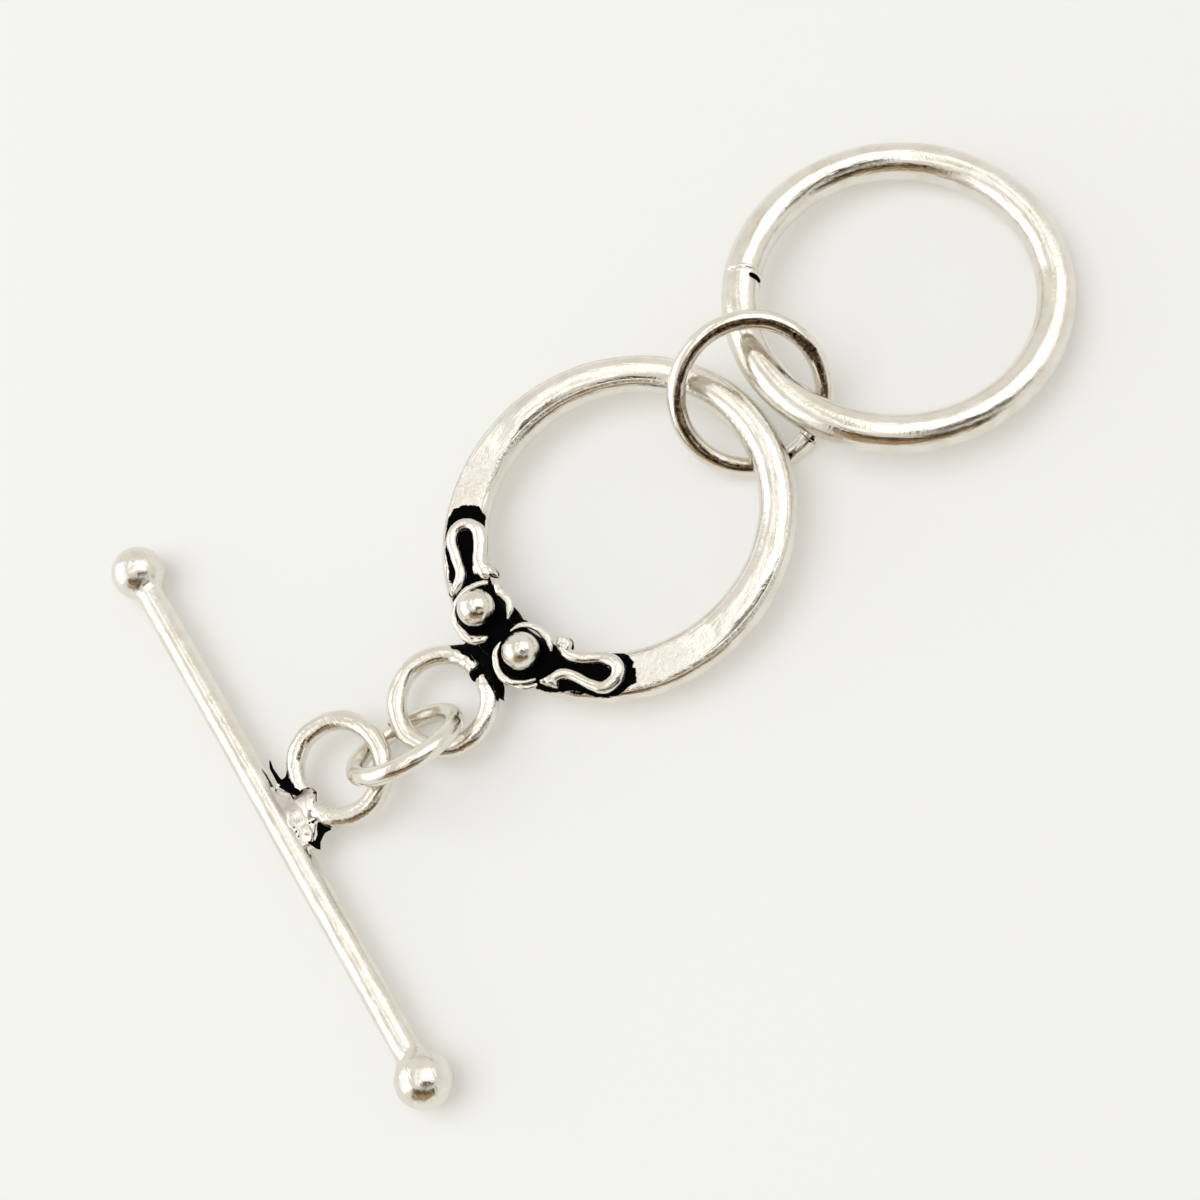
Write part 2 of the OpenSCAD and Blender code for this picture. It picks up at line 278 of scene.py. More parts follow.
# Light: a pale room with a skylight, a window, and dim corners that darken the silver in places
print("light")
room = {
    "wall": (0.85, 0.825, 0.775), "backdrop": (0.87, 0.865, 0.84), "bounce": (0.42, 0.41, 0.39),
    # direction of the middle, half width and half height, softness at the edge, colour
    "patches": [
        {"name": "skylight", "to": (0.363, -0.049, 0.930), "up": (0.558, 0.772, 0.305),
         "half": (0.74, 0.58), "soft": 0.10, "colour": (1.50, 1.50, 1.48)},
        {"name": "window", "to": (-0.80, 0.40, 0.45), "up": (0.0, 0.0, 1.0),
         "half": (0.62, 0.42), "soft": 0.08, "colour": (1.65, 1.65, 1.63)},
        {"name": "mullion", "to": (0.112, 0.277, 0.954), "up": (0.558, 0.772, 0.305),
         "half": (0.055, 0.50), "soft": 0.05, "colour": (0.53, 0.47, 0.35)},
        {"name": "corner", "to": (-0.40, -0.90, 0.15), "up": (0.0, 0.0, 1.0),
         "half": (0.80, 0.60), "soft": 0.12, "colour": (0.40, 0.275, 0.15)},
        {"name": "deepCorner", "to": (-0.22, -0.79, 0.56), "up": (0.558, 0.772, 0.305),
         "half": (0.85, 0.19), "soft": 0.07, "colour": (0.075, 0.052, 0.024)},
        {"name": "stand", "to": (0.325, -0.542, 0.775), "up": (0.558, 0.772, 0.305),
         "half": (0.50, 0.15), "soft": 0.08, "colour": (0.09, 0.062, 0.026)},
        {"name": "lens", "to": (0.021, -0.648, 0.761), "up": (0.558, 0.772, 0.305),
         "half": (0.09, 0.08), "soft": 0.04, "colour": (0.012, 0.01, 0.008)},
    ],
}


def buildRoom():
    world = bpy.data.worlds.new("room")
    bpy.context.scene.world = world
    world.use_nodes = True
    tree = world.node_tree
    tree.nodes.clear()
    new, link = tree.nodes.new, tree.links.new
    where = new("ShaderNodeTexCoord")
    colour = None
    for patch in room["patches"]:
        ahead = Vector(patch["to"]).normalized()
        side = Vector(patch["up"]).cross(ahead).normalized()
        upward = ahead.cross(side)
        toPatch = Matrix((side, upward, ahead))
        mapping = new("ShaderNodeMapping")
        mapping.inputs["Rotation"].default_value = toPatch.to_euler("XYZ")
        link(where.outputs["Generated"], mapping.inputs["Vector"])
        split = new("ShaderNodeSeparateXYZ")
        link(mapping.outputs[0], split.inputs[0])
        masks = []
        for axis, half in zip(("X", "Y"), patch["half"]):
            share = new("ShaderNodeMath")
            share.operation = "DIVIDE"
            link(split.outputs[axis], share.inputs[0])
            link(split.outputs["Z"], share.inputs[1])
            size = new("ShaderNodeMath")
            size.operation = "ABSOLUTE"
            link(share.outputs[0], size.inputs[0])
            edge = new("ShaderNodeMapRange")
            edge.interpolation_type = "SMOOTHSTEP"
            edge.inputs["From Min"].default_value = half + patch["soft"] / 2
            edge.inputs["From Max"].default_value = half - patch["soft"] / 2
            link(size.outputs[0], edge.inputs["Value"])
            masks.append(edge.outputs[0])
        front = new("ShaderNodeMath")
        front.operation = "GREATER_THAN"
        front.inputs[1].default_value = 0.02
        link(split.outputs["Z"], front.inputs[0])
        masks.append(front.outputs[0])
        mask = masks[0]
        for other in masks[1:]:
            both = new("ShaderNodeMath")
            both.operation = "MULTIPLY"
            link(mask, both.inputs[0])
            link(other, both.inputs[1])
            mask = both.outputs[0]
        mix = new("ShaderNodeMix")
        mix.data_type = "RGBA"
        link(mask, mix.inputs["Factor"])
        if colour is None:
            mix.inputs["A"].default_value = (*room["wall"], 1)
        else:
            link(colour, mix.inputs["A"])
        mix.inputs["B"].default_value = (*patch["colour"], 1)
        colour = mix.outputs["Result"]
    lit = new("ShaderNodeBackground")
    link(colour, lit.inputs["Color"])
    path = new("ShaderNodeLightPath")
    shown = lit.outputs[0]
    for ray, tint in (("Diffuse Depth", room["bounce"]), ("Is Camera Ray", room["backdrop"])):
        plain = new("ShaderNodeBackground")
        plain.inputs["Color"].default_value = (*tint, 1)
        choose = new("ShaderNodeMixShader")
        link(path.outputs[ray], choose.inputs["Fac"])
        link(shown, choose.inputs[1])
        link(plain.outputs[0], choose.inputs[2])
        shown = choose.outputs[0]
    out = new("ShaderNodeOutputWorld")
    link(shown, out.inputs["Surface"])


buildRoom()

# A big soft lamp on the left gives the shadows their direction
lamp = {"at": (-0.16, 0.10, 0.46), "size": 0.42, "power": 0.86, "colour": (1.0, 1.04, 1.075)}
startFresh()
bpy.ops.object.light_add(type="AREA", location=lamp["at"])
softLamp = bpy.context.active_object
softLamp.name = "softLamp"
softLamp.data.size = lamp["size"]
softLamp.data.energy = lamp["power"]
softLamp.data.color = lamp["colour"]
softLamp.rotation_euler = Vector(lamp["at"]).to_track_quat("Z", "Y").to_euler()
softLamp.visible_glossy = False

# Floor
print("floor")
# a sheet of opal plastic, lit from below as well, so that shadows stay pale
floorLook = {"size": 3.0, "colour": (0.898, 0.905, 0.90), "roughness": 0.8, "litBelow": (0.243, 0.233, 0.21)}
startFresh()
bpy.ops.mesh.primitive_plane_add(size=floorLook["size"])
floor = bpy.context.active_object
floor.name = "floor"
floorMaterial = bpy.data.materials.new("floor")
floorMaterial.use_nodes = True
opal = floorMaterial.node_tree.nodes["Principled BSDF"]
opal.inputs["Base Color"].default_value = (*floorLook["colour"], 1)
opal.inputs["Roughness"].default_value = floorLook["roughness"]
opal.inputs["Specular IOR Level"].default_value = 0.1
opal.inputs["Emission Color"].default_value = (*floorLook["litBelow"], 1)
opal.inputs["Emission Strength"].default_value = 1.0
floor.data.materials.append(floorMaterial)


# Silver
def silver(name, seat, follow, look, radius=1.0):
    # follow: "ring" runs the draw lines round local Z, "rod" along local Y
    material = bpy.data.materials.new(name)
    material.use_nodes = True
    tree = material.node_tree
    new, link = tree.nodes.new, tree.links.new
    metal = tree.nodes["Principled BSDF"]

    def maths(kind, a, b=None):
        node = new("ShaderNodeMath")
        node.operation = kind
        for socket, value in zip(node.inputs, (a, b)):
            if value is None:
                continue
            if isinstance(value, (int, float)):
                socket.default_value = value
            else:
                link(value, socket)
        return node.outputs[0]

    def ranged(value, low, high, outLow=0.0, outHigh=1.0):
        node = new("ShaderNodeMapRange")
        node.interpolation_type = "SMOOTHSTEP"
        node.inputs["From Min"].default_value = low
        node.inputs["From Max"].default_value = high
        node.inputs["To Min"].default_value = outLow
        node.inputs["To Max"].default_value = outHigh
        link(value, node.inputs["Value"])
        return node.outputs[0]

    def grain(vector, scale, detail=2.0, w=None):
        node = new("ShaderNodeTexNoise")
        node.noise_dimensions = "3D" if w is None else "4D"
        node.inputs["Scale"].default_value = scale
        node.inputs["Detail"].default_value = detail
        link(vector, node.inputs["Vector"])
        if w is not None:
            link(w, node.inputs["W"])
        return node.outputs["Fac"]

    where = new("ShaderNodeTexCoord")
    local = new("ShaderNodeMapping")          # the piece's own frame, in mm
    local.vector_type = "TEXTURE"
    local.inputs["Location"].default_value = Vector(seat["at"]) * mm
    local.inputs["Rotation"].default_value = [rad(a) for a in seat["turn"]]
    local.inputs["Scale"].default_value = (mm, mm, mm)
    link(where.outputs["Object"], local.inputs["Vector"])
    place = local.outputs[0]
    split = new("ShaderNodeSeparateXYZ")
    link(place, split.inputs[0])
    x, y, z = split.outputs

    along = new("ShaderNodeCombineXYZ")       # stretched so that the pattern runs with the wire
    if follow == "ring":
        rho = maths("SQRT", maths("ADD", maths("MULTIPLY", x, x), maths("MULTIPLY", y, y)))
        link(maths("MULTIPLY", rho, look["fine"]), along.inputs[0])
        link(maths("MULTIPLY", z, look["fine"]), along.inputs[1])
        link(maths("MULTIPLY", maths("DIVIDE", x, rho), look["long"] * radius), along.inputs[2])
        w = maths("MULTIPLY", maths("DIVIDE", y, rho), look["long"] * radius)
    else:
        link(maths("MULTIPLY", x, look["fine"]), along.inputs[0])
        link(maths("MULTIPLY", z, look["fine"]), along.inputs[1])
        link(maths("MULTIPLY", y, look["long"]), along.inputs[2])
        w = None
    drawLines = grain(along.outputs[0], 1.0, 3.0, w)
    wear = grain(place, look["wearScale"], 3.0)
    pits = grain(place, look["pitScale"], 3.0)

    painted = new("ShaderNodeAttribute")      # the black of the recesses, with a ragged edge
    painted.attribute_name = "dark"
    edge = grain(place, look["raggedScale"], 3.0)
    ragged = maths("MULTIPLY", maths("SUBTRACT", edge, 0.5), look["ragged"])
    dark = ranged(maths("ADD", painted.outputs["Fac"], ragged), -0.02, 0.02)

    tone = new("ShaderNodeMix")
    tone.data_type = "RGBA"
    tone.inputs["A"].default_value = (*look["deep"], 1)
    tone.inputs["B"].default_value = (*look["bright"], 1)
    link(ranged(wear, 0.35, 0.62), tone.inputs["Factor"])
    colour = tone.outputs["Result"]
    rough = maths("ADD", ranged(wear, 0.3, 0.7, look["smooth"], look["dull"]),
                  ranged(drawLines, 0.35, 0.7, 0.0, look["lines"]))
    height = maths("ADD", drawLines, maths("MULTIPLY", pits, look["pits"]))
    fine = grain(place, look["grainScale"])
    height = maths("ADD", height, maths("MULTIPLY", fine, look["grainHeight"]))

    if look.get("tarnishAndReflection"):
        # a brown band on the inner half of the ring, partly tarnish and partly a painted dark reflection that
        # widens the dark strip on the wire
        outer, inner = look["band"]
        band = maths("MULTIPLY", ranged(rho, radius + outer + 0.05, radius + outer - 0.05),
                     ranged(rho, radius + inner - 0.06, radius + inner + 0.06))
        brownBand = maths("MULTIPLY", maths("MULTIPLY", band, ranged(drawLines, 0.30, 0.50)), look["tarnishAndReflection"])
        shade = new("ShaderNodeMix")
        shade.data_type = "RGBA"
        link(ranged(pits, 0.42, 0.60), shade.inputs["Factor"])
        shade.inputs["A"].default_value = (*look["darkBandDeep"], 1)
        shade.inputs["B"].default_value = (*look["darkBandPale"], 1)
        brown = new("ShaderNodeMix")
        brown.data_type = "RGBA"
        link(brownBand, brown.inputs["Factor"])
        link(colour, brown.inputs["A"])
        link(shade.outputs["Result"], brown.inputs["B"])
        colour = brown.outputs["Result"]

    if look.get("solder"):
        # a patch of its own colour, duller than the silver: solder, or a stain where pliers pressed
        flow = new("ShaderNodeAttribute")
        flow.attribute_name = "solder"
        grey = new("ShaderNodeMix")
        grey.data_type = "RGBA"
        link(flow.outputs["Fac"], grey.inputs["Factor"])
        link(colour, grey.inputs["A"])
        grey.inputs["B"].default_value = (*look["solder"], 1)
        colour = grey.outputs["Result"]
        rough = maths("ADD", rough, maths("MULTIPLY", flow.outputs["Fac"], look["solderRough"]))

    if look.get("hammered"):
        # the hammered flat is grainy and satin
        top = ranged(z, look["flatZ"] - 0.09, look["flatZ"] - 0.05)
        under = ranged(z, look["flatZ"] + 0.06, look["flatZ"] + 0.03)
        flat = maths("MULTIPLY", top, under)
        grainy = grain(place, 5.5, 4.0)
        rough = maths("ADD", rough, maths("MULTIPLY", flat, ranged(grainy, 0.3, 0.7, 0.02, 0.20)))
        height = maths("ADD", height, maths("MULTIPLY", flat, maths("MULTIPLY", grainy, look["hammered"])))

    stain = new("ShaderNodeMix")
    stain.data_type = "RGBA"
    link(dark, stain.inputs["Factor"])
    link(colour, stain.inputs["A"])
    stain.inputs["B"].default_value = (*look["black"], 1)
    colour = stain.outputs["Result"]
    rough = maths("ADD", rough, maths("MULTIPLY", dark, look["blackRough"]))
    link(maths("SUBTRACT", 1.0, dark), metal.inputs["Metallic"])
    metal.inputs["Specular IOR Level"].default_value = look["blackGloss"]
    link(colour, metal.inputs["Base Color"])
    link(rough, metal.inputs["Roughness"])
    bump = new("ShaderNodeBump")
    bump.inputs["Strength"].default_value = 1.0
    bump.inputs["Distance"].default_value = look["bump"] * mm
    link(height, bump.inputs["Height"])
    link(bump.outputs[0], metal.inputs["Normal"])
    return material


baseLook = {"bright": (0.845, 0.815, 0.75), "deep": (0.78, 0.74, 0.66), "smooth": 0.075, "dull": 0.17,
            "lines": 0.10, "fine": 8.0, "long": 1.1, "pits": 0.5, "bump": 0.016,
            # how fine each pattern is, in cycles a millimetre, and how far the finest stands out
            "wearScale": 0.9, "pitScale": 6.0, "grainScale": 14.0, "grainHeight": 0.22, "raggedScale": 7.0,
            "black": (0.0012, 0.0016, 0.0014), "blackRough": 0.35, "blackGloss": 0.02,
            # the two browns of the jump ring's inner band: tarnish, and painted dark reflection
            "darkBandDeep": (0.055, 0.038, 0.024), "darkBandPale": (0.34, 0.22, 0.125), "solderRough": 0.12}


# Toggle bar
print("toggle bar")
bar = {
    "length": 27.9, "rodRadius": 0.65, "ballRadius": 1.27, "collarRadius": 0.86, "collarRun": 0.5,
    "eyeWire": 0.9, "eyeRadius": 2.15, "eyeAt": (3.61, -0.2), "eyeOval": (0.975, 1.045),
    "eyeEnds": (-156.0, 177.0),
    # outlines round the solder, in the bar's own frame
    "pad": [(-0.35, 1.10), (0.30, 1.12), (0.66, 0.86), (0.88, 0.56), (1.08, 0.23), (1.35, 0.02),
            (1.75, -0.06),
            (2.12, -0.20), (2.20, -0.50), (2.02, -0.85), (1.85, -1.3), (1.60, -1.62), (1.25, -2.0),
            (0.80, -2.45),
            (-0.3, -2.4)],
    "web": [(0.2, 0.80), (0.62, 0.76), (0.84, 0.95), (0.87, 1.35), (0.87, 1.72), (1.06, 2.10), (1.0, 1.72),
            (1.03, 1.28), (1.08, 1.0), (1.19, 0.95), (1.36, 0.98), (1.52, 1.16), (1.72, 1.5), (1.95, 1.2),
            (1.8, 0.2), (1.4, -0.4), (0.2, -0.4)],
    "lowerWeb": [(0.2, -1.2), (1.4, -1.2), (1.86, -1.7), (1.93, -2.36), (1.60, -2.30), (1.40, -2.40),
                 (1.20, -2.54),
                 (1.03, -2.83), (0.88, -2.66), (0.6, -2.60), (0.2, -2.7)],
    "darkUpper": [(0.98, 2.5), (0.78, 1.98), (0.76, 1.73), (0.80, 1.4), (0.83, 1.0), (0.97, 0.65),
                  (1.15, 0.29),
                  (1.33, 0.03), (1.43, -0.10), (1.55, -0.13), (1.66, -0.05), (1.60, 0.06), (1.50, 0.15),
                  (1.46, 0.30), (1.44, 0.45), (1.47, 0.69), (1.53, 0.93), (1.60, 1.10), (1.72, 1.35),
                  (1.74, 1.7),
                  (1.5, 1.5), (1.3, 1.25), (1.2, 1.9), (1.25, 2.5)],
    "darkLower": [(1.55, -1.75), (1.73, -1.84), (1.80, -2.07), (2.0, -2.3), (2.2, -2.7), (1.4, -2.7),
                  (1.2, -3.2),
                  (0.98, -3.2), (0.90, -2.66), (0.80, -2.42), (0.80, -2.26), (0.95, -2.34), (1.10, -2.36),
                  (1.29, -2.22), (1.39, -1.98)],
    "pits": [(0.72, 0.61, 0.05), (0.68, 0.54, 0.04), (2.13, -0.50, 0.06), (2.19, -1.0, 0.06),
             (1.41, -1.60, 0.07),
             (1.52, -1.60, 0.05), (1.28, -1.57, 0.05), (0.62, -1.40, 0.05), (0.61, -1.62, 0.06),
             (0.60, -1.86, 0.05),
             (0.50, -0.80, 0.03)],
    "brownLine": [(1.45, -1.78), (1.26, -2.0), (0.94, -2.42)], "brownHalf": 0.022,
    # bottom and top of the solder; how it sinks between rod and eye: depth, place, width;
    # and how it runs out on the eye: depth, width, from where
    "padZ": (-0.34, 0.42), "webZ": (-0.06, 0.14), "padSag": (0.10, 1.15, 0.45), "padEdge": (0.30, 0.38, 1.2),
}


def barStations():
    half, ball, rod = bar["length"] / 2, bar["ballRadius"], bar["rodRadius"]
    collar, run = bar["collarRadius"], bar["collarRun"]
    one = []
    steps = 26
    joinAngle = math.asin(collar / ball)
    for i in range(steps + 1):             # over the ball, from its far end to the collar
        a = 0.03 + (math.pi - joinAngle - 0.03) * i / steps
        one.append((-half - ball * math.cos(a), ball * math.sin(a)))
    joinY = one[-1][0]
    for i in range(1, 8):                  # the collar runs out on the rod
        t = i / 7
        one.append((joinY + t * run, rod + (collar - rod) * (1 - t) ** 2.2))
    rodStart = one[-1][0]
    count = 60
    middle = [(rodStart + (-2 * rodStart) * i / count, rod) for i in range(1, count)]
    other = [(-y, r) for y, r in reversed(one)]
    return one + middle + other


def fitEye(wire, middleR, at, oval, ends, seed, taper, bulge=0.0):
    # a hand-bent eye: a little oval and lumpy, its ends squeezed thinner
    for v in wire.data.vertices:
        a = math.degrees(math.atan2(v.co.y, v.co.x))
        rho = math.hypot(v.co.x, v.co.y)
        thin, inwards = 1.0, 0.0
        for end, away in ((0, (a - ends[0]) % 360), (1, (ends[1] - a) % 360)):
            if away > 300:
                away -= 360
            near = math.exp(-(away / taper[end][2]) ** 2)
            thin -= taper[end][0] * near
            inwards += taper[end][1] * near
        rho = middleR + (rho - middleR) * thin - inwards
        v.co = (rho * math.cos(rad(a)), rho * math.sin(rad(a)), v.co.z * thin)
    wobble(wire, 0.035, 1.3, seed)
    pushes = []
    for v in wire.data.vertices:           # melted, grainy ends
        a = math.degrees(math.atan2(v.co.y, v.co.x))
        away = min((a - ends[0]) % 360, (ends[1] - a) % 360)
        pushes.append(v.normal * 0.07 * math.exp(-(away / 26) ** 2) * noise.noise(v.co * 4.2))
    for v, push in zip(wire.data.vertices, pushes):
        v.co += push
    for v in wire.data.vertices:
        reach = 1 + bulge * bell(math.degrees(math.atan2(v.co.y, -v.co.x)), 0, 40)
        v.co.x = at[0] + v.co.x * oval[0] * reach
        v.co.y = at[1] + v.co.y * oval[1] * reach


def barPiece():
    piece = turned("toggleBar", barStations())
    for v in piece.data.vertices:          # hand-drawn wire is never quite true
        if abs(v.co.y) < 13:
            v.co.x += 0.025 * noise.noise(Vector((0, v.co.y * 0.16, 3)))
            k = 1 + 0.012 * noise.noise(Vector((v.co.x, v.co.y * 0.7, v.co.z)))
            v.co.x *= k
            v.co.z *= k
    eyeWire = openWire("barEye", bar["eyeRadius"], bar["eyeWire"], *bar["eyeEnds"])
    fitEye(eyeWire, bar["eyeRadius"], bar["eyeAt"], bar["eyeOval"], bar["eyeEnds"], 9,
           [(0.08, 0.0, 10), (0.28, 0.19, 24)])
    pad = solderPad("barPad", bar["pad"], *bar["padZ"], rough=0.05, seed=1.0, melt=14, lumps=1.6)
    sag, sagAt, sagWidth = bar["padSag"]
    edgeDrop, edgeWidth, edgeFrom = bar["padEdge"]
    for v in pad.data.vertices:            # the melted top sinks between rod and eye, its lower half is rough
        if v.co.z > 0.1:
            v.co.z -= sag * bell(v.co.x, sagAt, sagWidth)
            if v.co.x > edgeFrom:          # and runs out softly on the eye's wire
                v.co.z -= edgeDrop * max(0.0, 1 - polygonDistance(v.co.x, v.co.y, bar["pad"]) / edgeWidth)
        coarse = max(0.0, min(1.0, (-0.35 - v.co.y) / 0.4))
        v.co.z += 0.11 * coarse * noise.noise(v.co * 2.1 + Vector((7, 0, 0)))
    web = solderPad("barWeb", bar["web"], *bar["webZ"], grain=0.03, rough=0.01, seed=4.0, melt=3)
    lowerWeb = solderPad("barLowerWeb", bar["lowerWeb"], *bar["webZ"], grain=0.03, rough=0.01, seed=3.0,
                         melt=3)
    solderInto(piece, [eyeWire, pad, web, lowerWeb])

    def rule(p):
        low = 0.09 if p.z < 0.3 and p.y < 0.75 else 0.0
        return max(polygonDistance(p.x, p.y, bar["darkUpper"]) + low,
                   polygonDistance(p.x, p.y, bar["darkLower"]),
                   spots(p, bar["pits"]) if p.z > 0 else -1.0,
                   bar["brownHalf"] - polylineDistance(p.x, p.y, bar["brownLine"]) if p.z > 0 else -1.0, -1.0)

    paintDark(piece, rule)
    paintSolder(piece, lambda p: min(1.0, polygonDistance(p.x, p.y, bar["pad"]) * 5)
                * (1.0 if p.y > -0.5 else max(0.25, 1.0 + (p.y + 0.5) * 1.5)) if p.z < 0.52 else 0.0)
    look = dict(baseLook, ragged=0.05, solder=(0.54, 0.50, 0.45))
    finishPiece(piece, seats["bar"], "toggle_bar", silver("barSilver", seats["bar"], "rod", look))


barPiece()


# Link ring
print("link ring")
linkRing = {"radius": 2.48, "wire": 0.87, "seam": 102.3, "seamGap": 0.09}


def seamEnds(angle, gap, radius):
    half = math.degrees(gap / radius) / 2
    return angle + half, angle + 360 - half


def linkPiece():
    ends = seamEnds(linkRing["seam"], linkRing["seamGap"], linkRing["radius"])
    piece = openWire("linkRing", linkRing["radius"], linkRing["wire"], *ends, around=220, across=36)
    wobble(piece, 0.014, 0.9, 5.0)
    paintDark(piece, lambda p: 0.10 - linkRing["radius"] * abs(rad(linkRing["seam"]) - math.atan2(p.y, p.x)))
    look = dict(baseLook, ragged=0.05)
    finishPiece(piece, seats["link"], "link_ring",
                silver("linkSilver", seats["link"], "ring", look, linkRing["radius"]))


linkPiece()


